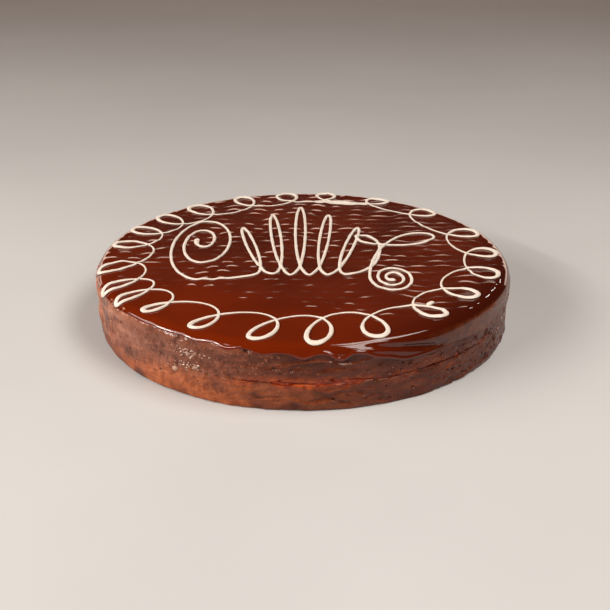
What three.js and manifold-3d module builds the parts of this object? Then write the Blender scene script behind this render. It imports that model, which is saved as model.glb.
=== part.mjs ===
// A whole chocolate torte: two sponge layers with a seam of apricot jam, a poured chocolate glaze that
// laps over the rim, a looped border and a centre flourish piped in white icing.
// Millimetres, +Z up. The origin is the centre of the flat underside. The front of the cake faces -Y.

import * as THREE from "three";
import { mergeVertices } from "three/addons/utils/BufferGeometryUtils.js";
import Module from "manifold-3d";

const wasm = await Module();
wasm.setup();

// ---- Driving dimensions -------------------------------------------------------------------------

const cakeRadius = 140; // to the outside of the glaze's lip
const cakeHeight = 42.5; // to the flat top of the glaze
const seamHeight = 17; // underside of the jam
const jamThickness = 2;
const glazeThickness = 3;
const glazeRim = 8; // rounding where the glaze turns over the rim
const lipThickness = 1.4;
const layerGap = 0.3; // free space between pieces that touch
const rimClearance = 0.25; // the same, where icing is trimmed on the rim
const slack = 0.03; // how far cleaning away slivers may move the icing's surface
const sameVertex = 1e-4; // vertices closer than this are one
const baseEdge = 1.5; // small rounding round the cake's foot
const facets = 72; // round the cake
const rimSteps = 4; // over the rim
const edgeSteps = 3; // round the edge of the lip

const spongeEdge = 1; // rounding of the upper layer's edges
const jamEdge = 0.4;
const lumpiest = 0.6; // the most that the lumps of a side add up to

const beadWidth = 2.8;
const beadHeight = 1.5;
const beadShoulder = { width: 0.8, height: 0.7 }; // where the back rounds over, as shares of the bead
const stationsPerLoop = 11;
const flourishStations = 160;
const longestTurn = 170; // how far a run of icing may turn, in degrees, before the next run starts
const loopRoundness = 1.15; // 1 swings in and out evenly, and more widens the tip of a loop

// The border's loops in the order they were piped, clockwise from the back: the tip's angle in degrees,
// the tip's radius, how far the tip leans ahead of its loop, how far the hand swings to each side, and
// the radius of the arc that leads on to the next loop. The hand's unevenness is in these.
const loops = [
  [82, 133, -1, 15, 115],
  [62, 132, -5, 17, 113],
  [43, 132, -4, 19, 105],
  [19, 132, -4, 18, 105],
  [1, 132, -4, 16, 109],
  [-16, 132, -3, 17, 100],
  [-33, 129, 3, 14, 100],
  [-50, 130, 3, 15, 103],
  [-71, 134, -5, 16, 98],
  [-87, 135, -11, 14, 99],
  [-102, 133, -11, 14, 99],
  [-119, 132, -9, 13, 101],
  [-136, 133, -3, 10, 105],
  [-146, 138, 7, 9, 107],
  [-155, 139, 9, 10, 107],
  [-168, 137, 15, 15, 103],
  [-188, 133, 5, 14, 106],
  [-202, 133, 1, 13, 105],
  [-216, 133, -1, 14, 102],
  [-230, 132, -1, 16, 102],
  [-248, 132, 1, 15, 106],
  [-264, 132, 0, 15, 112],
];

// The centre flourish, left to right: a large scroll, a fan of five petals, a curl, a leaf and a small
// scroll. It spells nothing. Angles are in degrees, and points are [x, y].
const largeScroll = {
  from: [-72, 28],
  to: [-68, 16],
  fromHalf: [2.5, 4],
  toHalf: [25, 60],
  startAngle: 160,
  rounds: 2.305,
  count: 36,
};
const petals = {
  fromX: -32,
  toX: 28,
  baseY: -36,
  outerHeight: 84,
  middleHeight: 134,
  spread: 44,
  swing: 7.5,
  number: 5,
  stationsEach: 12,
};
const curl = [[44, -24], [52, 0], [52, 25], [45, 36], [38, 35], [40, 26], [52, 19]];
const leaf = [[72, 18], [86, 24], [93, 33], [91, 40], [82, 42], [69, 35], [57, 18], [48, -8], [44, -30]];
const smallScroll = {
  from: [58, -41],
  to: [58, -41],
  fromHalf: [14.5, 22],
  toHalf: [2.5, 3.5],
  startAngle: 190,
  rounds: 2.3,
  count: 26,
};

// Lumps round the side: [size, waves round the cake, where they start, how they twist with height].
const lumps = [
  [0.3, 7, 1.3, 0.06],
  [0.2, 13, 2.1, -0.11],
  [0.1, 23, 0.4, 0.2],
];

// The glaze's lip: its mean reach down the side, where it ran on further, and its drips as
// [size, waves round the cake, where they start].
const lipReachMean = 9.6;
const lipRun = { at: -50, spread: 30, reach: 6.5 };
const lipDrips = [
  [0.5, 9, 0.7],
  [0.5, 17, 2.2],
];

const degree = Math.PI / 180;
const fullTurn = 2 * Math.PI;

// Sizes that follow from those above.
const glazeTopRadius = cakeRadius - glazeRim; // where the top stops being flat
const spongeRadius = cakeRadius - lipThickness - layerGap;
const spongeTop = cakeHeight - glazeThickness - layerGap;
const jamTop = seamHeight + jamThickness;

// ---- Turned pieces: a profile about the Z axis, then uneven as baked and poured ------------------

/** An arc of [radius, height] points about a centre, from one angle to another, both ends included. */
function arc(centreRadius, centreHeight, size, from, to, steps) {
  return Array.from({ length: steps + 1 }, (_, i) => {
    const angle = (from + ((to - from) * i) / steps) * degree;
    return [centreRadius + size * Math.cos(angle), centreHeight + size * Math.sin(angle)];
  });
}

/** Turns a profile of [radius, height] points about Z. `uneven` may move a point, given its row. */
function turned(profile, uneven = (angle, radius, height) => [radius, height]) {
  const outline = profile.map(([radius, height]) => new THREE.Vector2(radius, height));
  const geometry = new THREE.LatheGeometry(outline, facets);
  geometry.rotateX(Math.PI / 2);
  const position = geometry.attributes.position;
  for (let i = 0; i < position.count; i++) {
    const row = i % profile.length;
    const [radius, height] = profile[row];
    if (radius === 0) continue;
    const angle = Math.atan2(position.getY(i), position.getX(i));
    const [r, h] = uneven(angle, radius, height, row);
    position.setXYZ(i, r * Math.cos(angle), r * Math.sin(angle), h);
  }
  return geometry;
}

/** The sum of waves round the cake at an angle and a height. */
function waves(list, angle, height = 0) {
  const each = list.map(([size, number, start, twist = 0]) => {
    return size * Math.sin(number * angle + start + twist * height);
  });
  return each.reduce((sum, wave) => sum + wave);
}

/** A sponge or jam layer: a thick disc whose side is lumpy and whose edges are a little rounded. */
function layer(radius, bottom, top, edge, sideRows) {
  const side = Array.from({ length: sideRows + 1 }, (_, i) => [
    radius,
    bottom + edge + ((top - bottom - 2 * edge) * i) / sideRows,
  ]);
  const profile = [[0, bottom], [radius - edge, bottom], ...side, [radius - edge, top], [0, top]];
  return turned(profile, (angle, r, h) => [r + waves(lumps, angle, h), h]);
}

/** A bump of height 1 round the side, at an angle in degrees and with a spread in degrees. */
function bump(angle, at, spread) {
  const away = angle - at * degree;
  return Math.exp(-((Math.atan2(Math.sin(away), Math.cos(away)) / (spread * degree)) ** 2));
}

/** How far the glaze's lip runs down the side, with its wavy, dripping edge. */
function lipReach(angle) {
  return lipReachMean + lipRun.reach * bump(angle, lipRun.at, lipRun.spread) + waves(lipDrips, angle);
}

/** The poured glaze: a flat top, a rounded rim, and a lip that ends in a rounded, uneven edge. */
function glazeCap() {
  const rimCentre = cakeHeight - glazeRim;
  const innerRadius = cakeRadius - lipThickness;
  const innerTop = cakeHeight - glazeThickness;
  const outside = [[0, cakeHeight], ...arc(glazeTopRadius, rimCentre, glazeRim, 90, 0, rimSteps)];
  const edgeSize = lipThickness / 2;
  const edge = arc(innerRadius + edgeSize, 0, edgeSize, 0, -180, edgeSteps);
  const inside = [[innerRadius, innerTop], [0, innerTop]];
  const profile = [...outside, ...edge, ...inside].reverse();
  const firstEdgeRow = inside.length;
  const lastEdgeRow = firstEdgeRow + edge.length - 1;
  return turned(profile, (angle, r, h, row) => {
    const onEdge = row >= firstEdgeRow && row <= lastEdgeRow;
    return onEdge ? [r, cakeHeight - lipReach(angle) + h] : [r, h];
  });
}

/** Height of the glaze's surface at a distance from the axis, rim included. */
function glazeSurface(radius) {
  const past = Math.min(Math.max(radius - glazeTopRadius, 0), glazeRim);
  return cakeHeight - glazeRim + Math.sqrt(glazeRim ** 2 - past ** 2);
}

/** The direction straight out of the glaze at a point: up on the flat, leaning out on the rim. */
function glazeNormal(x, y) {
  const radius = Math.hypot(x, y);
  const lean = Math.min(Math.max((radius - glazeTopRadius) / glazeRim, 0), 1);
  return new THREE.Vector3((lean * x) / radius, (lean * y) / radius, Math.sqrt(1 - lean ** 2));
}

// ---- Piped icing: a bead laid along a path on the glaze -------------------------------------------

/** A bead's run: it passes through given stations, with its flat side on the glaze all the way. */
class BeadRun extends THREE.Curve {
  constructor(stations) {
    super();
    this.stations = stations;
  }
  getSpacedPoints() {
    return this.stations.map((station) => station.point);
  }
  computeFrenetFrames() {
    return {
      tangents: this.stations.map((station) => station.tangent),
      normals: this.stations.map((station) => station.side),
      binormals: this.stations.map((station) => station.up),
    };
  }
}

/** Stations along a path of [x, y] points: where the bead is, which way it runs, and its sides. */
function stationsAlong(path, closed) {
  const points = path.map(([x, y]) => new THREE.Vector3(x, y, glazeSurface(Math.hypot(x, y))));
  const last = points.length - 1;
  const inOrder = (i) => (closed ? (i + points.length) % points.length : Math.min(Math.max(i, 0), last));
  const at = (i) => points[inOrder(i)];
  return points.map((point, i) => {
    const tangent = new THREE.Vector3().subVectors(at(i + 1), at(i - 1)).normalize();
    const side = new THREE.Vector3().crossVectors(glazeNormal(point.x, point.y), tangent).normalize();
    return { point, tangent, side, up: new THREE.Vector3().crossVectors(tangent, side) };
  });
}

/** Splits stations into runs that turn by less than `most`, so that no run crosses itself. */
function runsOf(stations, most) {
  const runs = [];
  let run = [stations[0]];
  let turn = 0;
  for (let i = 1; i < stations.length; i++) {
    turn += stations[i].tangent.angleTo(stations[i - 1].tangent);
    run.push(stations[i]);
    if (turn > most && i < stations.length - 1) {
      runs.push(run);
      run = [stations[i]];
      turn = 0;
    }
  }
  return [...runs, run];
}

/** The bead's section: a flat foot, a little above the glaze, and a rounded back. */
function beadSection() {
  const half = beadWidth / 2;
  const shoulder = beadShoulder.width * half;
  const shoulderHeight = layerGap + beadShoulder.height * beadHeight;
  return new THREE.Shape([
    new THREE.Vector2(-half, layerGap),
    new THREE.Vector2(half, layerGap),
    new THREE.Vector2(shoulder, shoulderHeight),
    new THREE.Vector2(0, layerGap + beadHeight),
    new THREE.Vector2(-shoulder, shoulderHeight),
  ]);
}

/** A closed geometry as a solid that can be joined and cut. */
function solid(geometry) {
  geometry.deleteAttribute("normal");
  geometry.deleteAttribute("uv");
  const merged = mergeVertices(geometry, sameVertex);
  return new wasm.Manifold(
    new wasm.Mesh({
      numProp: 3,
      vertProperties: new Float32Array(merged.attributes.position.array),
      triVerts: new Uint32Array(merged.index.array),
    }),
  );
}

/** A solid as a geometry for a mesh. */
function geometryOf(made) {
  const { vertProperties, triVerts } = made.getMesh();
  const geometry = new THREE.BufferGeometry();
  geometry.setAttribute("position", new THREE.BufferAttribute(vertProperties, 3));
  geometry.setIndex(new THREE.BufferAttribute(triVerts, 1));
  return geometry;
}

/** The glaze's top and rim, grown by a clearance, as a solid. */
function grownGlaze(clearance) {
  const rimCentre = cakeHeight - glazeRim;
  const low = rimCentre - glazeRim;
  const rim = arc(glazeTopRadius, rimCentre, glazeRim + clearance, 0, 90, 2 * rimSteps);
  return solid(turned([[0, low], [cakeRadius + clearance, low], ...rim, [0, cakeHeight + clearance]]));
}

/** Pipes a bead along a path. Its runs are joined, the rim trims what dips into it, slivers are cleaned
 *  away, and specks that the crossings cut off are dropped. */
function piped(path, closed) {
  const stations = stationsAlong(path, closed);
  if (closed) stations.push(stations[0]);
  const section = beadSection();
  const bead = runsOf(stations, longestTurn * degree)
    .map((run) => {
      const extrudePath = new BeadRun(run);
      return solid(new THREE.ExtrudeGeometry(section, { steps: run.length - 1, extrudePath }));
    })
    .reduce((whole, run) => whole.add(run))
    .subtract(grownGlaze(rimClearance))
    .simplify(slack);
  const [largest] = bead.decompose().sort((one, other) => other.volume() - one.volume());
  return geometryOf(largest);
}

/** A value that runs smoothly through one value for each loop, and gains `perRound` in a round. */
function between(values, turn, perRound = 0) {
  const count = values.length;
  const before = Math.floor(turn);
  const share = turn - before;
  const value = (i) => values[(i + count) % count] + perRound * Math.floor(i / count);
  const [a, b, c, d] = [-1, 0, 1, 2].map((step) => value(before + step));
  const bend = 2 * a - 5 * b + 4 * c - d + share * (3 * (b - c) + d - a);
  return b + (share / 2) * (c - a + share * bend);
}

/** The loop border: the hand goes round the cake, and swings out and back once for each loop. */
function borderPath() {
  const column = (index) => loops.map((loop) => loop[index]);
  const [tipRadii, leans, swings, arcRadii] = [1, 2, 3, 4].map(column);
  const middles = loops.map(([angle, radius, lean]) => angle * degree - lean / radius);
  const count = loops.length * stationsPerLoop;
  return Array.from({ length: count }, (_, i) => {
    const turn = i / stationsPerLoop; // whole at the tips, and halfway between them on the arcs
    const phase = fullTurn * turn;
    const inward = (1 - Math.cos(phase)) / 2;
    const tip = between(tipRadii, turn);
    const arcRadius = between(arcRadii, turn - 0.5);
    const radius = tip - (tip - arcRadius) * inward ** loopRoundness;
    const sideways = between(swings, turn) * Math.sin(phase) + between(leans, turn) * (1 - inward);
    const angle = between(middles, turn, -fullTurn) + sideways / radius;
    return [radius * Math.cos(angle), radius * Math.sin(angle)];
  });
}

/** Rounds of an ellipse whose centre and half sizes drift from one value to another. */
function scroll({ from, to, fromHalf, toHalf, startAngle, rounds, count }) {
  return Array.from({ length: count }, (_, i) => {
    const share = i / (count - 1);
    const angle = startAngle * degree + rounds * fullTurn * share;
    const drift = (a, b) => a + (b - a) * share;
    return [
      drift(from[0], to[0]) + drift(fromHalf[0], toHalf[0]) * Math.cos(angle),
      drift(from[1], to[1]) + drift(fromHalf[1], toHalf[1]) * Math.sin(angle),
    ];
  });
}

/** A fan of petals piped in one line: their feet stand on a base line, and their tops lean apart. */
function fan({ fromX, toX, baseY, outerHeight, middleHeight, spread, swing, number, stationsEach }) {
  return Array.from({ length: number * stationsEach + 1 }, (_, i) => {
    const share = i / (number * stationsEach);
    const phase = number * fullTurn * share;
    const risen = (1 - Math.cos(phase)) / 2;
    const height = outerHeight + (middleHeight - outerHeight) * Math.sin(Math.PI * share) ** 2;
    const lean = spread * (share - 0.5) * risen;
    return [fromX + (toX - fromX) * share + lean + swing * Math.sin(phase), baseY + height * risen];
  });
}

/** The centre flourish as one smooth line through its parts. */
function flourishPath() {
  const line = [...scroll(largeScroll), ...fan(petals), ...curl, ...leaf, ...scroll(smallScroll)];
  const points = line.map(([x, y]) => new THREE.Vector3(x, y, 0));
  const curve = new THREE.CatmullRomCurve3(points, false, "centripetal");
  return curve.getPoints(flourishStations).map((point) => [point.x, point.y]);
}

// ---- The cake -------------------------------------------------------------------------------------

const sponge = { color: 0x6b3a26, roughness: 0.55, metalness: 0 };
const jam = { color: 0x7c2c0c, roughness: 0.3, metalness: 0 };
const chocolate = { color: 0x5a1b08, roughness: 0.12, metalness: 0 };
const icing = { color: 0xf3e2cc, roughness: 0.4, metalness: 0 };

const cake = new THREE.Group();

function place(name, geometry, finish) {
  const mesh = new THREE.Mesh(geometry, new THREE.MeshStandardMaterial(finish));
  mesh.name = name;
  cake.add(mesh);
}

const lower = layer(cakeRadius - lumpiest, 0, seamHeight - layerGap, baseEdge, 2);
const filling = layer(spongeRadius - 2 * lumpiest, seamHeight, jamTop, jamEdge, 1);
const upper = layer(spongeRadius - lumpiest, jamTop + layerGap, spongeTop, spongeEdge, 2);
place("lower_sponge", lower, sponge);
place("jam_filling", filling, jam);
place("upper_sponge", upper, sponge);
place("chocolate_glaze", glazeCap(), chocolate);
place("loop_border", piped(borderPath(), true), icing);
place("centre_flourish", piped(flourishPath(), false), icing);

export default cake;
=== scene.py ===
# %% [markdown]
# # A glazed chocolate torte with piped icing
#
# The cake is a low, wide cylinder of two sponge layers with jam between them. A thin chocolate coat covers
# the side, a poured glaze lies over the top and laps down over the rim, and white icing is piped on the
# glaze: a border of loops, and a flourish in the middle.
#
# The first lines load the solid model of the cake. It gives the true sizes, and most surfaces made below take the place
# of one of its solids.

import bmesh
import bpy
import numpy as np
from mathutils import Euler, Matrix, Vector


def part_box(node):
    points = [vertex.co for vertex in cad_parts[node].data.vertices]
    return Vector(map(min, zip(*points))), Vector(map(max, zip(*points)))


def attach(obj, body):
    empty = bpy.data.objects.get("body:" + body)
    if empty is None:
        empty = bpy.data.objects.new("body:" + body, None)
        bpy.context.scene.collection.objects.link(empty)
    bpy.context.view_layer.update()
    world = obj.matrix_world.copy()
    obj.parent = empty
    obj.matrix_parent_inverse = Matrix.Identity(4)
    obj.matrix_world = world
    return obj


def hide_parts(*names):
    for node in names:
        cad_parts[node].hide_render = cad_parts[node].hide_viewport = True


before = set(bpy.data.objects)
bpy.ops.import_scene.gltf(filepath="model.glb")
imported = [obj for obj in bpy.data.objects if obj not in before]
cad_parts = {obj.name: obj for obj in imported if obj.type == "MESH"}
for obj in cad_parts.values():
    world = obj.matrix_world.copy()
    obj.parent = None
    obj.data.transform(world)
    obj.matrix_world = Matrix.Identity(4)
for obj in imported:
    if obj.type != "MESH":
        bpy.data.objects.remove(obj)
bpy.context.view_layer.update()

# %% [markdown]
# ## The sizes that everything else hangs on
#
# A cake is easiest to think of in millimetres, so the shapes below are worked out in millimetres and are
# turned into metres once, when a mesh is made. The sizes come from the solid model, so the two can't
# disagree.

# %% Sizes, in millimetres
mm = 0.001


def box_mm(node):
    """The lowest and highest corners of one solid, in millimetres."""
    low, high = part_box(node)
    return np.array(low) / mm, np.array(high) / mm


cake_radius = box_mm("chocolate_glaze")[1][0]
cake_top = box_mm("chocolate_glaze")[1][2]
jam_low = box_mm("jam_filling")[0][2]
jam_high = box_mm("jam_filling")[1][2]
icing_top = box_mm("centre_flourish")[1][2]
print(f"radius {cake_radius:.1f}, top {cake_top:.1f}, jam {jam_low:.1f} to {jam_high:.1f}")

rim_size = 8.0  # rounding where the glaze turns over the rim
outer_radius = cake_radius - 0.3  # leaves room for the unevenness of the glaze
flat_radius = outer_radius - rim_size
rim_centre = cake_top - rim_size

# %% [markdown]
# ## Unevenness
#
# Nothing on a cake is smooth or regular, so most shapes need a soft random field: a number at every point
# in space that changes slowly from place to place. Blender has such noise as a texture, but a texture can't
# shape a mesh that leaves Blender, so it is worked out here. Random numbers sit on the corners of a lattice
# of cubes, and inside a cube they are blended. The same seed gives the same cake every time.

# %% Soft noise
random = np.random.default_rng(7)
corner_order = random.permutation(256)
corner_value = random.uniform(-1, 1, 256)
lattice_turn = np.array(Euler((0.6, 0.9, 0.4)).to_matrix())


def noise(x, y, z, cell, seed=0):
    """Soft noise from -1 to 1, with cubes of a given size.

    The value at a point is the mean of the eight corners of its cube, weighted along each axis by
    6t^5 - 15t^4 + 10t^3, where t is the share of the way across the cube. The lattice is turned, so that
    its cubes don't line up with the cake.
    """
    place = np.stack(np.broadcast_arrays(x, y, z), -1) / cell @ lattice_turn + 31.7 * seed
    low = np.floor(place).astype(int)
    share = place - low
    blend = share**3 * (share * (6 * share - 15) + 10)
    total = 0
    for corner in np.ndindex(2, 2, 2):
        at = (low + corner) % 256
        key = corner_order[(corner_order[(corner_order[at[..., 0]] + at[..., 1]) % 256] + at[..., 2]) % 256]
        weight = np.where(corner, blend, 1 - blend).prod(-1)
        total = total + weight * corner_value[key]
    return total


def ease(value, low, high):
    """0 below `low`, 1 above `high`, and between them a smooth step, 3t^2 - 2t^3."""
    t = np.clip((value - low) / (high - low), 0, 1)
    return t * t * (3 - 2 * t)


def near(angle, at, spread, power=2):
    """A bump of height 1 round the side, exp(-(away / spread)^power), with both in degrees."""
    away = (np.degrees(angle) - at + 180) % 360 - 180
    return np.exp(-((np.abs(away) / spread) ** power))


def folds(x, y, height, long, tall, seed, sharp=5):
    """Crests where soft noise passes through zero, (1 - |noise|)^sharp, longer one way than the other."""
    return (1 - np.abs(noise(x / long, y / long, height / tall, 1, seed=seed))) ** sharp


# %% [markdown]
# ## From a grid of numbers to a mesh
#
# A cake is round, so its surfaces are turned: a profile goes once round the axis. The modifier called Screw
# would do that with one fixed profile. Here the profile may differ at every angle, as the glaze's lip does,
# so each surface is a grid with one row for each place along the profile and one column for each angle.
# Where the first or the last row meets the axis, it closes in a fan of triangles.


# %% Meshes from grids
def add_mesh(name, points, faces):
    """Makes a smooth-shaded object at the origin from points in millimetres."""
    mesh = bpy.data.meshes.new(name)
    mesh.from_pydata(points * mm, [], faces)
    mesh.shade_smooth()
    thing = bpy.data.objects.new(name, mesh)
    bpy.context.scene.collection.objects.link(thing)
    print(f"{name}: {len(points)} points, {len(faces)} faces")
    return thing


def grid_faces(rows, columns):
    """The four-cornered faces between the rows of a grid whose columns close on themselves."""
    row = np.arange(rows - 1)[:, None] * columns
    here = np.arange(columns)
    following = (here + 1) % columns
    corners = (row + here, row + columns + here, row + columns + following, row + following)
    return np.stack(corners, -1).reshape(-1, 4)


def turned(name, angle, radius, height):
    """A closed solid of revolution whose rows run from the top of the axis to its bottom."""
    points = np.stack(np.broadcast_arrays(radius * np.cos(angle), radius * np.sin(angle), height), -1)
    inner = points[1:-1].reshape(-1, 3)
    rows, columns = len(points) - 2, len(angle)
    top, bottom = len(inner), len(inner) + 1
    here = np.arange(columns)
    following = (here + 1) % columns
    last = (rows - 1) * columns
    fan_top = np.stack([np.full(columns, top), here, following], -1)
    fan_bottom = np.stack([np.full(columns, bottom), last + following, last + here], -1)
    faces = grid_faces(rows, columns).tolist() + fan_top.tolist() + fan_bottom.tolist()
    return add_mesh(name, np.concatenate([inner, points[0, :1], points[-1, :1]]), faces)


def store(thing, name, values):
    """Keeps one number for each point of a mesh, so that its material can read it by name."""
    attribute = thing.data.attributes.new(name, "FLOAT", "POINT")
    attribute.data.foreach_set("value", np.asarray(values, np.float32).ravel())


# %% [markdown]
# ## The camera
#
# The camera looks down at the cake a little more steeply than someone sitting at the table would. A long
# lens from 70 cm away keeps the cake's round top from looking stretched.

# %% Camera
view_elevation = np.radians(23)
view_distance = 0.7
view_side = 0.0013
look_at = Vector((view_side, 0, 0.0045))
pivot_height = 0.0225

camera_data = bpy.data.cameras.new("camera")
camera_data.sensor_width = 36
camera_data.lens = 59.75
camera = bpy.data.objects.new("camera", camera_data)
camera.location = (
    view_side,
    -view_distance * np.cos(view_elevation),
    pivot_height + view_distance * np.sin(view_elevation),
)
camera.rotation_euler = (look_at - camera.location).to_track_quat("-Z", "Y").to_euler()
bpy.context.scene.collection.objects.link(camera)
bpy.context.scene.camera = camera

# %% [markdown]
# ## The light
#
# Glossy chocolate shows what stands round it more than it shows its own colour, so each light has a job.
# A low, wide panel at the left gives the side its pale sheen, and a thin strip in front of it draws the
# bright line along the lip and the glints under it. One almost overhead, a little to the right,
# lights the top and draws the broad streak on the front of the rim, and a smaller one nearer the eye lights
# the front. A small one behind at the right leaves sparks on the rim. The last is a long, low strip at the
# back. The flat of the glaze mirrors the dark room above it, and only the far sides of the ripples, which
# lean away from the eye, mirror the strip: this is what draws the thin crescents.


# %% Panels of light
warm_white = (1.0, 0.93, 0.86)
glow = (1.0, 0.70, 0.56)


def panel(name, direction, distance, width, height, brightness, colour=warm_white):
    """A soft panel that faces the cake. `brightness` is what a perfect mirror would show of it."""
    data = bpy.data.lights.new(name, "AREA")
    data.shape = "RECTANGLE"
    data.size = width
    data.size_y = height
    data.energy = brightness * np.pi * width * height
    data.color = colour
    light = bpy.data.objects.new(name, data)
    light.location = Vector(direction).normalized() * distance
    light.rotation_euler = (-light.location).to_track_quat("-Z", "Y").to_euler()
    bpy.context.scene.collection.objects.link(light)


panel("light_left", (-0.87, -0.28, 0.57), 1.4, 1.6, 0.52, 6.2)
panel("light_left_strip", (-0.74, -0.45, 0.50), 1.2, 0.9, 0.04, 60.0)
panel("light_overhead", (0.43, -0.18, 0.88), 1.2, 0.62, 0.5, 9.5)
panel("light_front", (0.44, -0.62, 0.64), 1.2, 0.32, 0.44, 8.2)
panel("light_back_right", (0.46, 0.75, 0.47), 1.4, 0.05, 0.16, 14.0)
panel("light_low_back", (0.0, 1.0, 0.105), 4.5, 9.0, 0.95, 2.3, glow)

room = bpy.data.worlds.new("room")
room.use_nodes = True
room.node_tree.nodes["Background"].inputs["Color"].default_value = (0.02, 0.018, 0.016, 1)
bpy.context.scene.world = room
bpy.context.scene.view_settings.view_transform = "Standard"

# %% [markdown]
# ## Materials from nodes
#
# A material here is the Principled shader with a few textures behind it. The textures read Object
# coordinates, which are metres from the middle of the cake's foot, so their grain has a true size. The
# helpers below keep each material short: one makes the shader, one adds a noise texture, one turns a number
# into a colour, and one turns a number into fine relief.


# %% Helpers for materials
def material(name, **values):
    """A material with a Principled shader. Each value is set on the shader's socket of that name."""
    made = bpy.data.materials.new(name)
    made.use_nodes = True
    shader = made.node_tree.nodes["Principled BSDF"]
    for socket, value in values.items():
        shader.inputs[socket.replace("_", " ")].default_value = value
    return made, made.node_tree, shader


def add_node(tree, kind, **settings):
    """A node of one kind, with its settings."""
    node = tree.nodes.new(kind)
    for name, value in settings.items():
        setattr(node, name, value)
    return node


def grain(tree, cell, detail=3.0, stretch=(1, 1, 1)):
    """Noise with a grain of `cell` millimetres, longer along an axis whose stretch is above 1."""
    coordinates = add_node(tree, "ShaderNodeTexCoord")
    mapping = add_node(tree, "ShaderNodeMapping")
    mapping.inputs["Scale"].default_value = [1 / s for s in stretch]
    texture = add_node(tree, "ShaderNodeTexNoise")
    texture.inputs["Scale"].default_value = 1 / (cell * mm)
    texture.inputs["Detail"].default_value = detail
    tree.links.new(coordinates.outputs["Object"], mapping.inputs["Vector"])
    tree.links.new(mapping.outputs["Vector"], texture.inputs["Vector"])
    return texture.outputs["Fac"]


def colours(tree, number, stops):
    """A colour for a number: `stops` is a list of (number, colour), and colours blend between them."""
    ramp = add_node(tree, "ShaderNodeValToRGB")
    elements = ramp.color_ramp.elements
    elements.remove(elements[1])
    elements[0].position, elements[0].color = stops[0][0], (*stops[0][1], 1)
    for position, colour in stops[1:]:
        elements.new(position).color = (*colour, 1)
    tree.links.new(number, ramp.inputs["Fac"])
    return ramp.outputs["Color"]


def stored(tree, name):
    """A number that was stored on the mesh under a name."""
    return add_node(tree, "ShaderNodeAttribute", attribute_name=name).outputs["Fac"]


def mixed(tree, factor, one, other):
    """A blend of two colours: the first at a factor of 0, and the second at 1."""
    mix = add_node(tree, "ShaderNodeMix", data_type="RGBA")
    tree.links.new(factor, mix.inputs["Factor"])
    for name, colour in (("A", one), ("B", other)):
        socket = [s for s in mix.inputs if s.name == name and s.type == "RGBA"][0]
        if isinstance(colour, tuple):
            socket.default_value = (*colour, 1)
        else:
            tree.links.new(colour, socket)
    return [s for s in mix.outputs if s.type == "RGBA"][0]


def scaled(tree, number, low, high):
    """A number from 0 to 1 stretched to run from `low` to `high`."""
    node = add_node(tree, "ShaderNodeMapRange")
    node.inputs["To Min"].default_value = low
    node.inputs["To Max"].default_value = high
    tree.links.new(number, node.inputs["Value"])
    return node.outputs["Result"]


def fine_relief(tree, shader, number, height, strength=1.0):
    """Relief too fine for the mesh: `height` is how many millimetres a number of 1 stands up."""
    bump = add_node(tree, "ShaderNodeBump")
    bump.inputs["Strength"].default_value = strength
    bump.inputs["Distance"].default_value = height * mm
    tree.links.new(number, bump.inputs["Height"])
    previous = shader.inputs["Normal"].links
    if previous:
        tree.links.new(previous[0].from_socket, bump.inputs["Normal"])
    tree.links.new(bump.outputs["Normal"], shader.inputs["Normal"])


# %% [markdown]
# ## The floor
#
# A plain pale board under the cake, wide enough to fill the picture.

# %% Floor
floor_half = 8000.0
floor_points = np.array([(-1, -1, 0), (1, -1, 0), (1, 1, 0), (-1, 1, 0)]) * floor_half
floor = add_mesh("floor", floor_points, [(0, 1, 2, 3)])
floor_paint, floor_tree, floor_shader = material("floor_paint", Roughness=0.6)
floor_tint = colours(floor_tree, grain(floor_tree, 300), [(0.3, (0.50, 0.495, 0.49)), (0.7, (0.54, 0.535, 0.53))])
floor_tree.links.new(floor_tint, floor_shader.inputs["Base Color"])
floor.data.materials.append(floor_paint)

# %% [markdown]
# ## The top of the glaze
#
# A poured glaze is a mirror, but this one set over an uneven layer, so behind the front edge it is covered
# in low ripples, each about the size of a thumbnail and a quarter of a millimetre high. They lie like roof
# tiles in staggered rows: each climbs slowly away from the eye and drops off at its far end. Only the drop
# shows, as a thin bright crescent. Towards the front the glaze had room to run, and it is smooth.


# %% Height of the glaze
ripple_height = 0.48
ripple_width, ripple_depth = 16.0, 9.5  # one ripple, sideways and from front to back


def front_left(x, y):
    """Distance from the middle of the cake towards its front left, where the glaze ran off smoothly."""
    return -0.35 * x - 0.94 * y


def ripples(x, y):
    """Scales in staggered rows: cos^2 across, a slow climb and a quick drop along, and bent at the sides."""
    bent_x = x + 7 * noise(x, y, 0, 34, seed=1) + 1.6 * noise(x, y, 0, 9, seed=2)
    bent_y = y + 5 * noise(x, y, 0, 28, seed=3) + 1.5 * noise(x, y, 0, 8, seed=4)
    row = np.floor(bent_y / ripple_depth)
    stagger = 0.5 * (row % 2) + 0.4 * noise(row, 0, 0, 1.3, seed=5)
    across = (bent_x / ripple_width + stagger) % 1 - 0.5
    along = bent_y / ripple_depth - row + across**2
    scale = ease(along, 0.1, 0.5) * (1 - ease(along, 0.5, 1))
    joined = 0.6 * ease(x, 10, 90)
    weight = np.clip(0.62 + 0.65 * noise(x, y, 0, 17, seed=6), 0.2, 1.1)
    small = 0.04 * noise(x, y, 0, 6, seed=7)
    smooth_front = ease(front_left(x, y), 74, 98)
    taller = 1.06 + 0.45 * ease(-y, -25, 60) - 0.25 * ease(x, 30, 100)
    shape = taller * scale * weight * (joined + (1 - joined) * np.cos(np.pi * across) ** 2)
    return (1 - smooth_front) * (ripple_height * shape + small)


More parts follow.
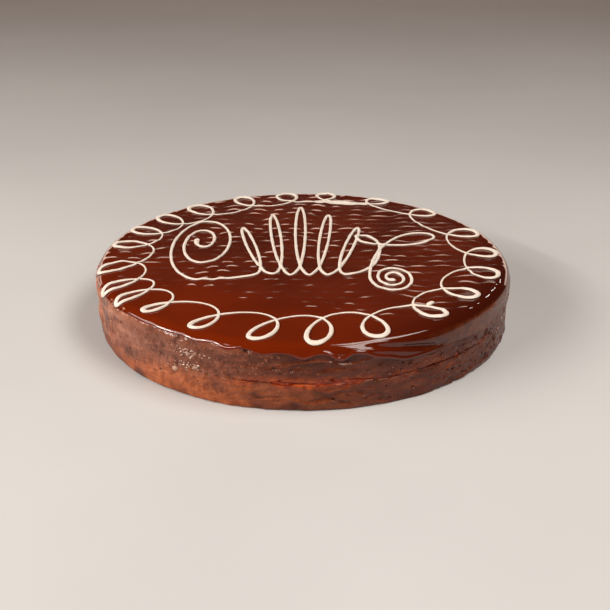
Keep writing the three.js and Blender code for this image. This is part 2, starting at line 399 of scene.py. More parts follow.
def glaze_height(x, y):
    """Height of the glaze over any point of the cake: flat with ripples, then falling round the rim."""
    past = np.clip(np.hypot(x, y) - flat_radius, 0, rim_size * 0.999)
    fade = 1 - ease(past, 0, rim_size * 0.8)
    slow = 0.08 * noise(x, y, 0, 60, seed=8)
    return rim_centre + np.sqrt(rim_size**2 - past**2) + fade * (ripples(x, y) + slow - 0.35)


# %% [markdown]
# ## The lip of the glaze
#
# Where the glaze ran over the rim it stopped in an uneven lip. At the left front it barely passes the rim.
# At the front it hangs in short drips, and at the right it ran on almost to the jam, thin enough to have no
# edge at all. So two things change round the cake: how far the glaze reaches down, and how thick it ends.


# %% Reach, thickness and edge of the lip
def lip_reach(angle):
    """How far the glaze reaches below the top, in millimetres: a mean, a gap, runs, drips and noise."""
    x, y = np.cos(angle), np.sin(angle)
    gap = 2.4 * near(angle, -124, 24)
    runs = 8.5 * near(angle, -63, 10) + 9 * near(angle, -38, 20) + 3 * near(angle, 0, 30)
    runs = runs + 4 * near(angle, 120, 40)
    hanging = 4.6 * near(angle, -83, 10) + 1.7 * near(angle, -107, 13)
    drips = hanging * (0.5 + 0.5 * np.cos(40 * (angle + np.pi / 2))) ** 1.5
    uneven = 0.5 * noise(x, y, 0, 0.16, seed=9) + 0.45 * noise(x, y, 0, 0.055, seed=10)
    return 5.2 + runs - gap + drips + uneven


def melted(angle):
    """1 at the right, where the glaze melted into the coat and has no edge, and 0 elsewhere."""
    return near(angle, -8, 45, power=6)


def lip_thickness(angle):
    """How thick the glaze is where it ends: about 1.3 mm, and almost nothing at the right."""
    return (1.3 + 0.6 * near(angle, -80, 22)) * (1 - 0.93 * melted(angle))


def lip_bead(angle):
    """How far the edge of the glaze stands out as a bead, where it gathered before it set."""
    return (0.28 + 0.6 * near(angle, -72, 14)) * (1 - melted(angle))


def run_groove(angle, drop):
    """The hollow between the rim and a thick run at the front right, which slants down to the right."""
    middle = 5.6 + 0.45 * (np.degrees(angle) % 360 - 291)
    return 1.9 * near(angle, -62, 10) * np.exp(-(((drop - middle) / 1.9) ** 2))


# %% [markdown]
# ## The glaze as one closed skin
#
# The grid's rows start in the middle of the top, run out over the flat, round the rim and down to the lip,
# roll under the lip in a half circle, and come back up inside the glaze to the axis. A point's place on the
# way down is a share of the whole way to the lip at its own angle, so the rows spread to fit every drip.


# %% Glaze mesh
def glaze_grid(columns=620, top_rows=104, side_rows=36, roll_rows=8):
    """Radius and height of every grid point, rows from the top of the axis to the underside's axis."""
    angle = np.linspace(0, 2 * np.pi, columns, endpoint=False)
    x, y = np.cos(angle), np.sin(angle)

    flat = np.linspace(0, 1, top_rows)[:, None] ** 0.85 * flat_radius + 0 * angle
    flat_height = glaze_height(flat * x, flat * y)

    reach = lip_reach(angle)
    bead_out = lip_bead(angle)
    quarter = rim_size * np.pi / 2
    whole_way = np.arccos(np.clip(1 - reach / rim_size, 0, 1)) * rim_size + np.maximum(reach - rim_size, 0)
    share = 1 - np.linspace(1, 0, side_rows + 1)[1:, None] ** 1.4
    way = share * whole_way
    turn = np.minimum(way, quarter) / rim_size
    edge = 1 - ease(whole_way - way, 0.8, 2.3)
    drop = rim_size * (1 - np.cos(turn)) + np.maximum(way - quarter, 0)
    out = bead_out * (edge - 0.7 * ease(way, 4, 9)) - run_groove(angle, drop)
    rim_x, rim_y = outer_radius * x, outer_radius * y
    out = out + 0.2 * noise(rim_x, rim_y, way * 1.6, 17, seed=11) * ease(way, 0, 4)
    slid = 0.5 * folds(rim_x, rim_y, drop, 30, 8, 12) - 0.3
    out = out + melted(angle) * slid * ease(drop, 3, 7)
    radius = flat_radius + (rim_size + out) * np.sin(turn)
    sunk = (glaze_height(flat_radius * x, flat_radius * y) - cake_top) * (1 - ease(way, 0, 6))
    height = rim_centre + (rim_size + out) * np.cos(turn) - np.maximum(way - quarter, 0) + sunk

    half_thick = lip_thickness(angle) / 2
    half_turn = np.linspace(0, np.pi, roll_rows + 1)[1:, None]
    outward, downward = half_thick * (np.cos(half_turn) - 1), half_thick * np.sin(half_turn)
    roll_radius = radius[-1] + outward * np.sin(turn[-1]) + downward * np.cos(turn[-1])
    roll_height = height[-1] + outward * np.cos(turn[-1]) - downward * np.sin(turn[-1])

    inside = np.array([0.5, 1.0])[:, None]
    inner_top = cake_top - 3
    inner_height = roll_height[-1] + (inner_top - roll_height[-1]) * inside
    inner_radius = roll_radius[-1] - 3 * inside
    axis = np.zeros((1, columns))
    radii = np.concatenate([flat, radius, roll_radius, inner_radius, axis])
    heights = np.concatenate([flat_height, height, roll_height, inner_height, axis + inner_top])
    return angle, np.minimum(radii, cake_radius - 0.02), heights


glaze_angle, glaze_radii, glaze_heights = glaze_grid()
glaze = turned("glaze", glaze_angle, glaze_radii, glaze_heights)
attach(glaze, "root")
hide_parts("chocolate_glaze")

# %% [markdown]
# ## The glaze's finish
#
# The glaze is a clear brown, deep over the ripples. Its colour carries painted light: a brighter orange painted towards
# the front left of the top, and painted shade that makes the right of the rim almost black. Below that it is rubbed
# bare of its shine. Elsewhere its surface is close to a mirror.

# %% Glaze material
glaze_look, glaze_tree, glaze_shader = material("dark_glaze", IOR=1.5)
cloudy = grain(glaze_tree, 45, detail=2)
deep_brown = colours(glaze_tree, cloudy, [(0.35, (0.068, 0.0075, 0.0016)), (0.65, (0.098, 0.0110, 0.0024))])
# painted light: the brighter orange of the top towards the front left, where the light falls
painted_light_brown = colours(glaze_tree, cloudy, [(0.35, (0.120, 0.0108, 0.0009)), (0.65, (0.152, 0.0138, 0.0012))])
# how much of the painted light each point gets: more towards the front left
painted_front_light = ease(-0.45 * glaze_radii * np.cos(glaze_angle) - 0.89 * glaze_radii * np.sin(glaze_angle), 20, 150)
# painted shade: the right of the rim and the edge of the top near it made darker
painted_rim_shade = 0.85 * near(glaze_angle, -32, 42) * ease(glaze_radii, 105, 136)
bare = melted(glaze_angle) * ease(cake_top - glaze_heights, 2.6, 5) * ease(glaze_radii, 130, 134)
rippled = 1 - ease(front_left(glaze_radii * np.cos(glaze_angle), glaze_radii * np.sin(glaze_angle)), 66, 95)
dull = 0.045 + 0.10 * rippled * (1 - ease(glaze_radii, 124, 132)) + 0.2 * bare
for name, values in (("painted_front_light", painted_front_light), ("painted_rim_shade", painted_rim_shade), ("bare", bare), ("dull", dull)):
    store(glaze, name, np.concatenate([values[1:-1].ravel(), [0, 0]]))
glaze_colour = mixed(glaze_tree, stored(glaze_tree, "painted_front_light"), deep_brown, painted_light_brown)
# the near-black brown of the painted shade on the right of the rim
glaze_colour = mixed(glaze_tree, stored(glaze_tree, "painted_rim_shade"), glaze_colour, (0.035, 0.0035, 0.001))
rubbed_brown = colours(glaze_tree, grain(glaze_tree, 5), [(0.35, (0.075, 0.015, 0.004)), (0.65, (0.145, 0.034, 0.011))])
glaze_colour = mixed(glaze_tree, stored(glaze_tree, "bare"), glaze_colour, rubbed_brown)
glaze_tree.links.new(glaze_colour, glaze_shader.inputs["Base Color"])
glaze_tree.links.new(stored(glaze_tree, "dull"), glaze_shader.inputs["Roughness"])
fine_relief(glaze_tree, glaze_shader, grain(glaze_tree, 3.5, detail=2), 0.02)
glaze.data.materials.append(glaze_look)

# %% [markdown]
# ## The coated side
#
# Below the lip the glaze is only a thin coat, spread by hand over rough sponge. It has broad lumps, level
# folds where it slid and set, upright wrinkles at the left where it ran, crumbs under the coat, and small
# pits where bubbles burst. Each is a field of millimetres in or out, and the side is their sum.


# %% Relief of the side
marked_pits = [  # angle in degrees, height, width and depth: the bubbles that anyone would notice
    (-103.5, 38.0, 2.4, 1.6), (-96.6, 27.2, 1.5, 1.4), (-92.7, 26.2, 1.3, 1.4), (-83.0, 19.5, 1.6, 1.3),
    (-47.7, 18.5, 1.8, 1.6), (-44.5, 17.8, 1.5, 1.5), (-57.5, 31.5, 1.3, 1.0), (-35.0, 21.5, 1.5, 1.3),
]  # fmt: skip


def pits(arc, height, count, seed):
    """Small round holes with a low ring round them: the depth falls as exp(-(distance / size)^2)."""
    pick = np.random.default_rng(seed)
    angle = np.where(pick.random(count) < 0.6, pick.normal(-40, 26, count), pick.uniform(-180, 180, count))
    scattered = np.stack([angle, pick.uniform(3, 27, count), *pick.uniform(0.5, 1.3, (2, count))], 1)
    total = np.zeros(np.broadcast(arc, height).shape)
    around = 2 * np.pi * outer_radius
    for at_angle, at_height, size, depth in [*marked_pits, *scattered]:
        away = (arc - np.radians(at_angle) * outer_radius + around / 2) % around - around / 2
        distance = np.hypot(away, 1.3 * (height - at_height)) / size
        total += depth * (np.exp(-(distance**2)) - 0.25 * np.exp(-(((distance - 1.7) / 0.5) ** 2)))
    return total


def side_relief(angle, height):
    """How far the coat stands out from its mean surface, in millimetres: broad lumps, then the detail."""
    x, y = outer_radius * np.cos(angle), outer_radius * np.sin(angle)
    left, right = near(angle, -172, 36), near(angle, -22, 36)
    slid = 0.35 + 0.65 * (near(angle, -88, 20) + near(angle, -45, 22))
    calm = 1 - 0.8 * right * ease(height, 23, 27)
    broad = 0.42 * noise(x, y, 1.2 * height, 24, seed=20) + 0.34 * noise(x, y, 1.2 * height, 10, seed=21)
    strength = 0.75 + 0.9 * near(angle, -90, 17) * ease(height, 20, 28)
    level = strength * slid * (folds(x, y, height, 24, 5.5, 22) - 0.3)
    broken = ease(noise(x, y, 1.5 * height, 13, seed=29), -0.1, 0.45)
    creases = 0.8 * slid * broken * folds(x, y, height, 22, 7, 28, sharp=9)
    upright = 1.8 * left * ease(height, 4, 16) * (folds(x, y, height, 5.0, 24, 23) - 0.35)
    drag = 0.16 * noise(x, y, 5 * height, 15, seed=24)
    crumbs = 0.26 * noise(x, y, height, 3.4, seed=25) + 0.2 * noise(x, y, height, 1.7, seed=26)
    grainy = 0.6 + 1.1 * near(angle, -117, 13) + 0.5 * right
    rough = level + upright + drag + grainy * crumbs - creases
    calm *= 1 - 0.6 * near(angle, -135, 40) * (1 - ease(height, 3, 9))
    return broad, calm * (rough - pits(angle * outer_radius, height, 130, 27))


# %% [markdown]
# ## Two layers with a seam between them
#
# Each layer is a closed, turned solid like the glaze: its flat faces are hidden, so they have only a few
# rows, and its side has many. The upper layer turns in over its shoulder to meet the underside of the
# glaze. The coat ends at the seam in a torn, wavy edge, so the seam shows jam in some places and closes in
# others.


# %% Layers
def seam_waver(angle, seed):
    """The torn edge of the coat along the seam: how far it strays up or down."""
    x, y = outer_radius * np.cos(angle), outer_radius * np.sin(angle)
    return 0.9 * noise(x, y, 0, 15, seed=seed) + 0.5 * noise(x, y, 0, 4.5, seed=seed + 1)


def rounded(distance, size):
    """How far a rounded edge lies inside at a distance from its corner: size - sqrt(size^2 - rest^2)."""
    rest = np.clip(size - distance, 0, size)
    return size - np.sqrt(size**2 - rest**2)


def coat_radius(angle, height):
    """The radius of the coat anywhere on the side: a wall with a belly at the left, turned in at the top."""
    broad, detail = side_relief(angle, height)
    belly = 0.85 * near(angle, -150, 32) * np.exp(-(((height - 32) / 7) ** 2))
    shoulder = rounded(rim_size - (height - rim_centre), rim_size)
    inset = flush * (1 - 0.75 * melted(angle) * ease(height, 16, 24)) - belly + shoulder
    return outer_radius - inset + broad + detail


def layer_grid(angle, low, high, low_edge, high_edge, rows):
    """A layer's grid: its top face, its side with relief, and its bottom face, each edge rounded."""
    height = high + (low - high) * np.linspace(0, 1, rows)[:, None]
    edges = rounded(high - height, high_edge) + rounded(height - low, low_edge)
    side = np.minimum(coat_radius(angle, height) - edges, cake_radius - 0.05)
    inner = np.array([0.0, 0.55, 0.97])[:, None]
    radii = np.concatenate([inner * side[0], side, inner[::-1] * side[-1]])
    heights = np.concatenate([high + 0 * inner, height, low + 0 * inner])
    return radii, heights


flush = 0.95  # how far the mean of the coat lies inside the glaze
side_angle = np.linspace(0, 2 * np.pi, 1500, endpoint=False)
open_seam = 0.02 + 0.95 * near(side_angle, -83, 19) + 0.5 * near(side_angle, -48, 15)
open_seam *= 0.75 + 0.6 * noise(
    outer_radius * np.cos(side_angle), outer_radius * np.sin(side_angle), 0, 8, seed=35
)
seam_stray = 0.5 + 1.0 * near(side_angle, -48, 20)
seam_middle = 0.5 * (jam_low + jam_high) + seam_stray * noise(
    outer_radius * np.cos(side_angle), outer_radius * np.sin(side_angle), 0, 22, seed=34
)
lower_high = seam_middle - open_seam * (1.1 - seam_waver(side_angle, 30))
foot_edge = 1.3 + 3.2 * near(side_angle, -165, 32)
lower_radii, lower_heights = layer_grid(side_angle, 0 * side_angle, lower_high, foot_edge, 0.8 * open_seam + 0.02, 42)
lower = turned("lower_layer", side_angle, lower_radii, lower_heights)
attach(lower, "root")
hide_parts("lower_sponge")

under_lip = np.minimum(cake_top - lip_reach(side_angle) + 2.0, cake_top - 1.7)
upper_low = seam_middle + open_seam * (1.1 + seam_waver(side_angle, 33))
upper_radii, upper_heights = layer_grid(side_angle, upper_low, under_lip, 0.8 * open_seam + 0.02, 0.4, 56)
upper = turned("upper_layer", side_angle, upper_radii, upper_heights)
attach(upper, "root")
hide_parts("upper_sponge")

# %% [markdown]
# ## The coat's finish
#
# The coat is the same chocolate, thinner and less even. It is orange where the crust or the jam shines through. Two
# marks in its colour are painted light: a pale pinkish sheen painted on at the left, and painted shade that makes it
# darkest in its hollows. These are stored on the mesh, so that they follow its shape. A shiny coat with fine relief
# glitters.


# %% Coat material
def store_side(thing, angle, radii, heights):
    """Stores four numbers from 0 to 1 on a layer: painted shade in the hollows, jam stain, painted sheen at the left,
    and warm crust.
    """
    x, y = outer_radius * np.cos(angle), outer_radius * np.sin(angle)
    broad, detail = side_relief(angle, heights)
    seam = np.exp(-(((heights - 0.5 * (jam_low + jam_high)) / 3.4) ** 2))
    patchy = ease(noise(x, y, 2.2 * heights, 12, seed=40), -0.3, 0.4)
    stain = seam * patchy * (0.08 + 0.92 * near(angle, -92, 21) + 0.12 * near(angle, -52, 20))
    # painted sheen: the left of the side made paler and pinker, as the left panel's reflection would
    painted_left_sheen = near(angle, -172, 44) * ease(heights, 3, 22)
    crust_patches = ease(noise(x, y, 1.6 * heights, 15, seed=41), -0.9, 0.1)
    crust = crust_patches * near(angle, -122, 34) * (1 - ease(heights, 12, 24))
    # painted shade: darker where the relief sinks in
    painted_hollow_shade = (0.9 - 0.55 * crust) * ease(-(detail + 0.25 * broad), -0.05, 0.75)
    for name, values in (("painted_hollow_shade", painted_hollow_shade), ("stain", stain), ("painted_left_sheen", painted_left_sheen), ("crust", crust)):
        values = np.broadcast_to(values, radii.shape)[1:-1]
        store(thing, name, np.concatenate([values.ravel(), [0, 0]]))


store_side(lower, side_angle, lower_radii, lower_heights)
store_side(upper, side_angle, upper_radii, upper_heights)

coat_look, coat_tree, coat_shader = material(
    "side_coat",
    IOR=1.42,
    Coat_Weight=0.4,
    Coat_Roughness=0.06,
    Specular_IOR_Level=0.25,
    Specular_Tint=(1.0, 0.68, 0.5, 1.0),
)
coat_streaks = grain(coat_tree, 16, detail=5, stretch=(1, 1, 0.3))
coat_blotches = grain(coat_tree, 5, detail=4)
plain_coat = colours(
    coat_tree,
    coat_streaks,
    [(0.3, (0.062, 0.009, 0.003)), (0.5, (0.103, 0.018, 0.006)), (0.7, (0.18, 0.041, 0.016))],
)
dark_coat = colours(coat_tree, coat_blotches, [(0.35, (0.030, 0.004, 0.001)), (0.65, (0.075, 0.009, 0.003))])
jam_stained = colours(coat_tree, coat_blotches, [(0.4, (0.20, 0.018, 0.003)), (0.62, (0.44, 0.075, 0.015))])
crust_coat = colours(coat_tree, coat_blotches, [(0.35, (0.27, 0.055, 0.013)), (0.65, (0.43, 0.110, 0.032))])
# the pale pinkish colour of the painted sheen at the left
painted_sheen_coat = colours(coat_tree, coat_streaks, [(0.3, (0.32, 0.10, 0.05)), (0.7, (0.54, 0.23, 0.145))])
coat_colour = mixed(coat_tree, scaled(coat_tree, grain(coat_tree, 1.4), -0.3, 0.6), plain_coat, dark_coat)
coat_colour = mixed(coat_tree, stored(coat_tree, "crust"), coat_colour, crust_coat)
coat_colour = mixed(coat_tree, stored(coat_tree, "painted_left_sheen"), coat_colour, painted_sheen_coat)
# the painted shade in the hollows
coat_colour = mixed(coat_tree, stored(coat_tree, "painted_hollow_shade"), coat_colour, dark_coat)
coat_colour = mixed(coat_tree, stored(coat_tree, "stain"), coat_colour, jam_stained)
coat_tree.links.new(coat_colour, coat_shader.inputs["Base Color"])
coat_tree.links.new(scaled(coat_tree, coat_blotches, 0.3, 0.6), coat_shader.inputs["Roughness"])
fine_relief(coat_tree, coat_shader, grain(coat_tree, 1.3, detail=4), 0.7)
fine_relief(coat_tree, coat_shader, grain(coat_tree, 5, detail=4, stretch=(1, 1, 0.4)), 0.8)
for layer in (lower, upper):
    layer.data.materials.append(coat_look)

# %% [markdown]
# ## Crumbs and a stray drop
#
# Crumbs came off with the knife and stuck in the wet coat, most of them under the lip at the front left. They are all
# copies of one small ball with 80 faces, flattened, turned out of round by noise and sunk half way into the coat. Where
# syrup caught a few grains of sugar, they sparkle: they have a glossy material of their own, and their pale colour is
# partly a painted glint. A drop of icing that fell from the bag sticks there too.


# %% Crumbs
def lumps_on_side(name, angle, height, size, sink, seed):
    """One mesh of little lumps on the side: each is a ball of `size`, wider than it is tall and thick."""
    shape = bmesh.new()
    bmesh.ops.create_icosphere(shape, subdivisions=2, radius=1)
    ball = np.array([vertex.co for vertex in shape.verts])
    ball_faces = np.array([[vertex.index for vertex in face.verts] for face in shape.faces])
    shape.free()
    key = np.arange(len(angle))[:, None] * 7.3
    rough = 1 + 0.3 * noise(ball[:, 0] + key, ball[:, 1], ball[:, 2], 0.9, seed=seed)
    out, along, up = (rough * ball[:, i] * size[:, None] * k for i, k in ((0, 0.7), (1, 1.25), (2, 0.85)))
    cos, sin = np.cos(angle)[:, None], np.sin(angle)[:, None]
    radius = coat_radius(angle, height)[:, None] - sink * size[:, None] + out
    points = np.stack([radius * cos - along * sin, radius * sin + along * cos, height[:, None] + up], -1)
    faces = np.arange(len(angle))[:, None, None] * len(ball) + ball_faces
    return add_mesh(name, points.reshape(-1, 3), faces.reshape(-1, 3).tolist())


scatter = np.random.default_rng(5)
crumb_count = 320
at_front_left = scatter.random(crumb_count) < 0.6
crumb_angle = np.where(
    at_front_left, scatter.normal(-113, 11, crumb_count), scatter.uniform(-180, 180, crumb_count)
)
crumb_height = np.where(at_front_left, scatter.normal(28, 6, crumb_count), scatter.uniform(3, 30, crumb_count))
crumb_height = np.clip(crumb_height, 3, 35)
crumb_size = scatter.uniform(0.3, 0.75, crumb_count)
crumbs = lumps_on_side("crumbs", np.radians(crumb_angle), crumb_height, crumb_size, 0.25, 70)
# the crumbs carry a quarter of the painted hollow shade and of the painted sheen at the left
for name, level in (("painted_hollow_shade", 0.25), ("stain", 0.0), ("painted_left_sheen", 0.25), ("crust", 0.5)):
    store(crumbs, name, np.full(len(crumbs.data.vertices), level))
crumbs.data.materials.append(coat_look)
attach(crumbs, "root")

wet_count = 110
at_right = scatter.random(wet_count) < 0.28
wet_angle = np.radians(np.where(at_right, scatter.normal(-17, 5, wet_count), scatter.normal(-119, 2.2, wet_count)))
wet_height = np.where(scatter.random(wet_count) < 0.65, 29, 20.5) + scatter.normal(0, 1.3, wet_count)
wet_height = np.where(at_right, scatter.uniform(12, 31, wet_count), wet_height)
wet_grains = lumps_on_side("wet_grains", wet_angle, wet_height, scatter.uniform(0.3, 0.8, wet_count), 0.1, 72)
wet_look, wet_tree, wet_shader = material("sugar_and_glints", Roughness=0.1, Coat_Weight=1.0, Coat_Roughness=0.03)
# the grains' pale colour is partly a painted glint, added to the real gloss of the material
grain_glint_tint = colours(wet_tree, grain(wet_tree, 2), [(0.35, (0.22, 0.09, 0.05)), (0.65, (0.55, 0.36, 0.27))])
wet_tree.links.new(grain_glint_tint, wet_shader.inputs["Base Color"])
wet_grains.data.materials.append(wet_look)
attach(wet_grains, "root")

stray = lumps_on_side("stray_drop", np.radians([-123.0]), np.array([16.0]), np.array([2.0]), 0.2, 71)
stray_look, stray_tree, stray_shader = material("stray_icing", Roughness=0.5)
stray_tint = colours(stray_tree, grain(stray_tree, 2), [(0.35, (0.34, 0.17, 0.105)), (0.65, (0.48, 0.28, 0.19))])
stray_tree.links.new(stray_tint, stray_shader.inputs["Base Color"])
stray.data.materials.append(stray_look)
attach(stray, "root")

# %% [markdown]
# ## The jam
#
# The jam runs right through between the layers. Only its edge shows, as a glossy dark red line that bulges
# out a little where the seam is open.

# %% Jam
jam_rows = np.linspace(0, 1, 12)[:, None]
jam_heights = jam_high + 2.4 + (jam_low - jam_high - 4.8) * jam_rows
jam_x, jam_y = outer_radius * np.cos(side_angle), outer_radius * np.sin(side_angle)
jam_bulge = 0.5 * noise(jam_x, jam_y, 2 * jam_heights, 5, seed=50) + 1.2 * np.sin(np.pi * jam_rows)
jam_inner = np.array([0.0, 0.6])[:, None] * outer_radius + 0 * side_angle
jam_edge = outer_radius - 3.6 + 0.9 * near(side_angle, -88, 22) + jam_bulge
jam_radii = np.concatenate([jam_inner, jam_edge, jam_inner[::-1]])
jam_all_heights = np.concatenate(
    [0 * jam_inner + jam_heights[0], jam_heights + 0 * side_angle, 0 * jam_inner + jam_heights[-1]]
)
jam = turned("jam", side_angle, jam_radii, jam_all_heights)
jam_look, jam_tree, jam_shader = material("cooked_jam", Roughness=0.12, IOR=1.45)
jam_tint = colours(jam_tree, grain(jam_tree, 6), [(0.35, (0.10, 0.008, 0.002)), (0.65, (0.36, 0.04, 0.008))])
jam_tree.links.new(jam_tint, jam_shader.inputs["Base Color"])
jam.data.materials.append(jam_look)
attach(jam, "root")
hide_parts("jam_filling")

# %% [markdown]
# ## The path of the border
#
# The border is one line of icing, piped clockwise in 22 loops. A wheel that rolls round the cake draws such
# a line, but the hand is less regular than a wheel: every loop has its own place, reach, lean and width, and
# they are listed here in the order of piping. Between two loops the values run on smoothly.

# %% Border path
loop_table = np.array(
    [  # angle of the tip, its radius, how far it leans ahead, half the loop's width, radius of the next arc
        (82, 133, -1, 15, 115), (62, 132, -5, 17, 113), (43, 132, -4, 19, 105), (19, 132, -4, 18, 105),
        (1, 132, -4, 16, 109), (-16, 132, -3, 17, 100), (-33, 129, 3, 14, 100), (-50, 130, 3, 15, 103),
        (-71, 134, -5, 16, 98), (-87, 135, -11, 14, 99), (-102, 133, -11, 14, 99), (-119, 132, -9, 13, 101),
        (-136, 133, -3, 10, 105), (-146, 138, 7, 9, 107), (-155, 139, 9, 10, 107), (-168, 137, 15, 15, 103),
        (-188, 133, 5, 14, 106), (-202, 133, 1, 13, 105), (-216, 133, -1, 14, 102), (-230, 132, -1, 16, 102),
        (-248, 132, 1, 15, 106), (-264, 132, 0, 15, 112),
    ],
    float,
)


def between(values, turn, per_round=0.0):
    """Runs smoothly through one value for each loop (a Catmull-Rom spline) and gains `per_round` a round."""
    count = len(values)
    before = np.floor(turn).astype(int)
    share = turn - before
    a, b, c, d = (values[(before + i) % count] + per_round * ((before + i) // count) for i in (-1, 0, 1, 2))
    bend = 2 * a - 5 * b + 4 * c - d + share * (3 * (b - c) + d - a)
    return b + share / 2 * (c - a + share * bend)


def border_path(per_loop=64):
    """Points of the border line, and how far round its loop each one is, as an angle p.

    A point moves in from the tip by (1 - cos(p)) / 2 of the way to the arc, and sideways by swing sin(p).
    """
    tip_angle, tip_radius, lean, swing, arc_radius = loop_table.T
    turn = np.arange(len(loop_table) * per_loop) / per_loop
    phase = 2 * np.pi * turn
    inward = (1 - np.cos(phase)) / 2
    middle = between(np.radians(tip_angle) - lean / tip_radius, turn, -2 * np.pi)
    tip = between(tip_radius, turn)
    arc = between(arc_radius, turn - 0.5)
    radius = tip - (tip - arc) * inward**1.15
    sideways = between(swing, turn) * np.sin(phase) + between(lean, turn) * (1 - inward)
    angle = middle + sideways / radius
    return np.stack([radius * np.cos(angle), radius * np.sin(angle)], -1), phase


# %% [markdown]
# ## The path of the flourish
#
# The flourish is one line too: a large scroll, a fan of five petals, a curl, a leaf and a small scroll. The scrolls and
# the fan come from formulas, and the curl and the leaf are a few listed points. A smooth curve runs through all of
# them, so that no join shows.


# %% Flourish path
def scroll(start, end, start_half, end_half, start_angle, rounds, count):
    """Rounds of an ellipse whose centre and half sizes drift from one value to another."""
    share = np.linspace(0, 1, count)[:, None]
    centre = np.array(start) + (np.array(end) - start) * share
    half = np.array(start_half) + (np.array(end_half) - start_half) * share
    angle = np.radians(start_angle) + 2 * np.pi * rounds * share
    return centre + half * np.concatenate([np.cos(angle), np.sin(angle)], 1)


def fan(start, end, base, outer, middle, spread, swing, petals, per_petal):
    """Petals in one line: x swings by swing sin(p), y rises by height (1 - cos(p)) / 2, tops lean apart."""
    share = np.linspace(0, 1, petals * per_petal + 1)
    phase = 2 * np.pi * petals * share
    risen = (1 - np.cos(phase)) / 2
    height = outer + (middle - outer) * np.sin(np.pi * share) ** 2
    x = start + (end - start) * share + spread * (share - 0.5) * risen + swing * np.sin(phase)
    return np.stack([x, base + height * risen], -1)


curl = [(44, -24), (52, 0), (52, 25), (45, 36), (38, 35), (40, 26), (52, 19)]
leaf = [(72, 18), (86, 24), (93, 33), (91, 40), (82, 42), (69, 35), (57, 18), (48, -8), (44, -30)]
flourish_points = np.concatenate(
    [
        scroll((-72, 28), (-68, 16), (2.5, 4), (25, 60), 160, 2.305, 36),
        fan(-32, 28, -36, 84, 134, 44, 7.5, 5, 12),
        curl,
        leaf,
        scroll((58, -41), (58, -41), (14.5, 22), (2.5, 3.5), 190, 2.3, 26),
    ]
)


def smooth_through(points, per_span):
    """A centripetal Catmull-Rom curve: each span's pace is the square root of its length."""
    ends = [2 * points[:1] - points[1:2], points, 2 * points[-1:] - points[-2:-1]]
    p = np.concatenate(ends)
    pace = np.sqrt(np.linalg.norm(np.diff(p, axis=0), axis=1))[:, None, None]
    p0, p1, p2, p3 = (p[i : len(p) - 3 + i, None] for i in range(4))
    d0, d1, d2 = pace[:-2], pace[1:-1], pace[2:]
    t = np.linspace(0, 1, per_span, endpoint=False)[:, None]
    out = (p2 - p1) / d1
    leave = out + d1 / (d0 + d1) * ((p1 - p0) / d0 - out)
    arrive = out + d1 / (d1 + d2) * ((p3 - p2) / d2 - out)
    cubic = (2 * t**3 - 3 * t**2 + 1) * p1 + (3 * t**2 - 2 * t**3) * p2
    cubic = cubic + d1 * ((t**3 - 2 * t**2 + t) * leave + (t**3 - t**2) * arrive)
    return np.concatenate([cubic.reshape(-1, 2), points[-1:]])


def evenly(path, step):
    """The same line with its points a fixed step apart."""
    along = np.concatenate([[0], np.cumsum(np.linalg.norm(np.diff(path, axis=0), axis=1))])
    wanted = np.linspace(0, along[-1], int(along[-1] / step))
    return np.stack([np.interp(wanted, along, path[:, i]) for i in (0, 1)], -1)


# %% [markdown]
# ## A bead of icing
#
# Icing leaves the bag as a round strand and settles into a bead, flat below and round above. The bead is a
# closed section carried along the path, square to it and square to the glaze. A curve object with a bevel
# could do that too, but a real bead swells where the hand slows down, and it climbs over what it crosses,
# so its width and its lift are worked out at every point.


# %% Bead
def crossing_lift(path, gap, reach):
    """1 where a later stretch of the line lies on an earlier one, and down to 0 away from it."""
    apart = ((path[:, None] - path[None]) ** 2).sum(-1)
    earlier = np.arange(len(path))[:, None] - np.arange(len(path))[None] > gap
    return np.where(earlier, np.exp(-apart / reach**2), 0).max(1)


def glaze_normal(x, y):
    """The direction straight out of the glaze, from how its height changes over a tenth of a millimetre."""
    slope_x = (glaze_height(x + 0.1, y) - glaze_height(x - 0.1, y)) / 0.2
    slope_y = (glaze_height(x, y + 0.1) - glaze_height(x, y - 0.1)) / 0.2
    normal = np.stack([-slope_x, -slope_y, np.ones_like(x)], -1)
    return normal / np.linalg.norm(normal, axis=1, keepdims=True)


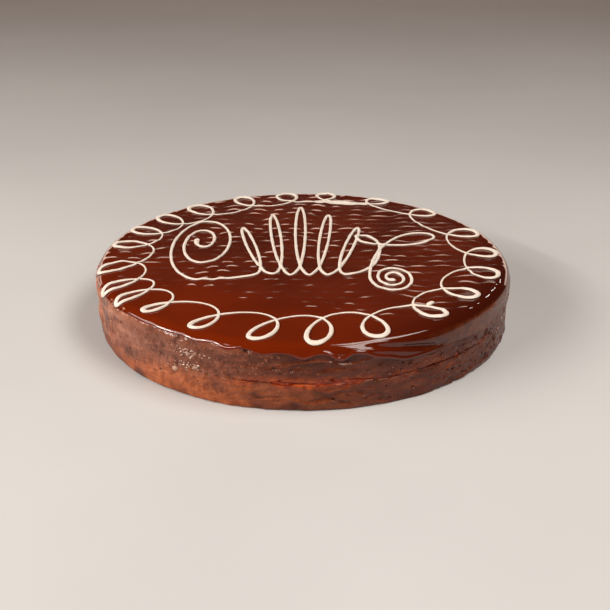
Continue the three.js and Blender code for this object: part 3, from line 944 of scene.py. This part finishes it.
def bead(path, width, closed=False, around=16, flatness=0.42):
    """The points and faces of a bead along a path on the glaze. `width` is its width at each point."""
    x, y = path.T
    count = len(path)
    width = width * (1 + 0.14 * noise(x, y, 0, 7, seed=60) + 0.08 * noise(x, y, 0, 2.5, seed=61))
    height = np.minimum(flatness * width, 1.5)
    if not closed:
        along = np.concatenate([[0], np.cumsum(np.linalg.norm(np.diff(path, axis=0), axis=1))])
        to_end = np.minimum(along, along[-1] - along) / (width / 2)
        taper = np.sqrt(1 - (1 - np.clip(to_end, 0, 1)) ** 2) + 0.02
        width, height = width * taper, height * taper
    ground = glaze_height(x, y)
    room_above = np.maximum(icing_top - 0.05 - ground - height, 0)
    lift = np.minimum(0.75 * height * crossing_lift(path, 12, 1.7), room_above)
    centre = np.stack([x, y, ground], -1)
    if closed:
        tangent = np.roll(centre, -1, 0) - np.roll(centre, 1, 0)
    else:
        tangent = np.gradient(centre, axis=0)
    up = glaze_normal(x, y)
    side = np.cross(up, tangent)
    side /= np.linalg.norm(side, axis=1, keepdims=True)
    turn = np.linspace(0, 2 * np.pi, around, endpoint=False)
    across = np.cos(turn) * np.abs(np.cos(turn)) ** -0.15
    rise = np.where(np.sin(turn) > 0, 0.32 + 0.68 * np.sin(turn), 0.32 + 0.42 * np.sin(turn))
    points = (
        centre[:, None]
        + side[:, None] * (width[:, None] / 2 * across)[..., None]
        + up[:, None] * (lift[:, None] + height[:, None] * rise)[..., None]
    )
    faces = grid_faces(count + closed, around) % (count * around)
    faces = faces[:, ::-1].tolist()
    if not closed:
        here = np.arange(around)
        faces += [here[::-1].tolist(), ((count - 1) * around + here).tolist()]
    return points.reshape(-1, 3), faces


def dab(start, end, width, flatness=0.42):
    """A short bead from one place to another, for a drop or a smear."""
    turn = np.linspace(0, np.pi, 24)
    share = 0.5 - 0.5 * np.cos(turn)[:, None]
    path = np.array(start) + (np.array(end) - start) * share
    return bead(path, width * (0.35 + 0.65 * np.sin(turn)), flatness=flatness)


def add_icing(name, node, shapes):
    """Joins beads into one piece that stands for a solid."""
    points, faces = [], []
    for shape_points, shape_faces in shapes:
        first = sum(len(done) for done in points)
        faces += [[first + corner for corner in face] for face in shape_faces]
        points.append(shape_points)
    piece = add_mesh(name, np.concatenate(points), faces)
    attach(piece, "root")
    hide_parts(node)
    return piece


# %% [markdown]
# ## Piping the icing
#
# The border is widest at the loops' tips, where the hand turned slowly. The flourish starts and ends in a
# blob. A few drops and smears that weren't meant to be there are part of the border: a flat smear at the
# back where a sleeve or a knife touched it, a dab on one loop at the right, and two small drops.

# %% Border and flourish
border_line, border_phase = border_path()
border_width = 2.25 + 0.95 * np.cos(border_phase)
border = add_icing(
    "border_icing",
    "loop_border",
    [
        bead(border_line, border_width, closed=True),
        dab((8, 114), (50, 107), 7.5, flatness=0.07),
        dab((21, 113), (38, 110), 5.0, flatness=0.24),
        dab((75.5, -84.5), (80, -79.5), 3.6),
        dab((73.5, -99), (74.5, -98.6), 1.6),
        dab((-24.6, 81), (-23.4, 81.2), 1.9),
    ],
)

flourish_line = evenly(smooth_through(flourish_points, 12), 0.8)
from_start = np.arange(len(flourish_line)) * 0.8
blob_at_start = np.exp(-((from_start / 9.0) ** 2))
blob_at_end = np.exp(-((from_start[::-1] / 5.0) ** 2))
flourish_width = 2.0 + 2.0 * blob_at_start + 2.6 * blob_at_end
flourish = add_icing("flourish_icing", "centre_flourish", [bead(flourish_line, flourish_width)])

# %% [markdown]
# ## The icing's finish
#
# Sugar icing dries to a cream colour with a soft shine. Light goes a little way into it, which keeps its
# shadows pale.

# %% Icing material
icing_look, icing_tree, icing_shader = material("sugar_icing", Roughness=0.34, IOR=1.45)
icing_tint = colours(icing_tree, grain(icing_tree, 5), [(0.3, (0.68, 0.59, 0.51)), (0.7, (0.75, 0.67, 0.59))])
icing_tree.links.new(icing_tint, icing_shader.inputs["Base Color"])
icing_shader.inputs["Subsurface Weight"].default_value = 0.15
icing_shader.inputs["Subsurface Radius"].default_value = (1.0, 0.7, 0.5)
icing_shader.inputs["Subsurface Scale"].default_value = 0.0012
fine_relief(icing_tree, icing_shader, grain(icing_tree, 1.2), 0.08)
for piece in (border, flourish):
    piece.data.materials.append(icing_look)
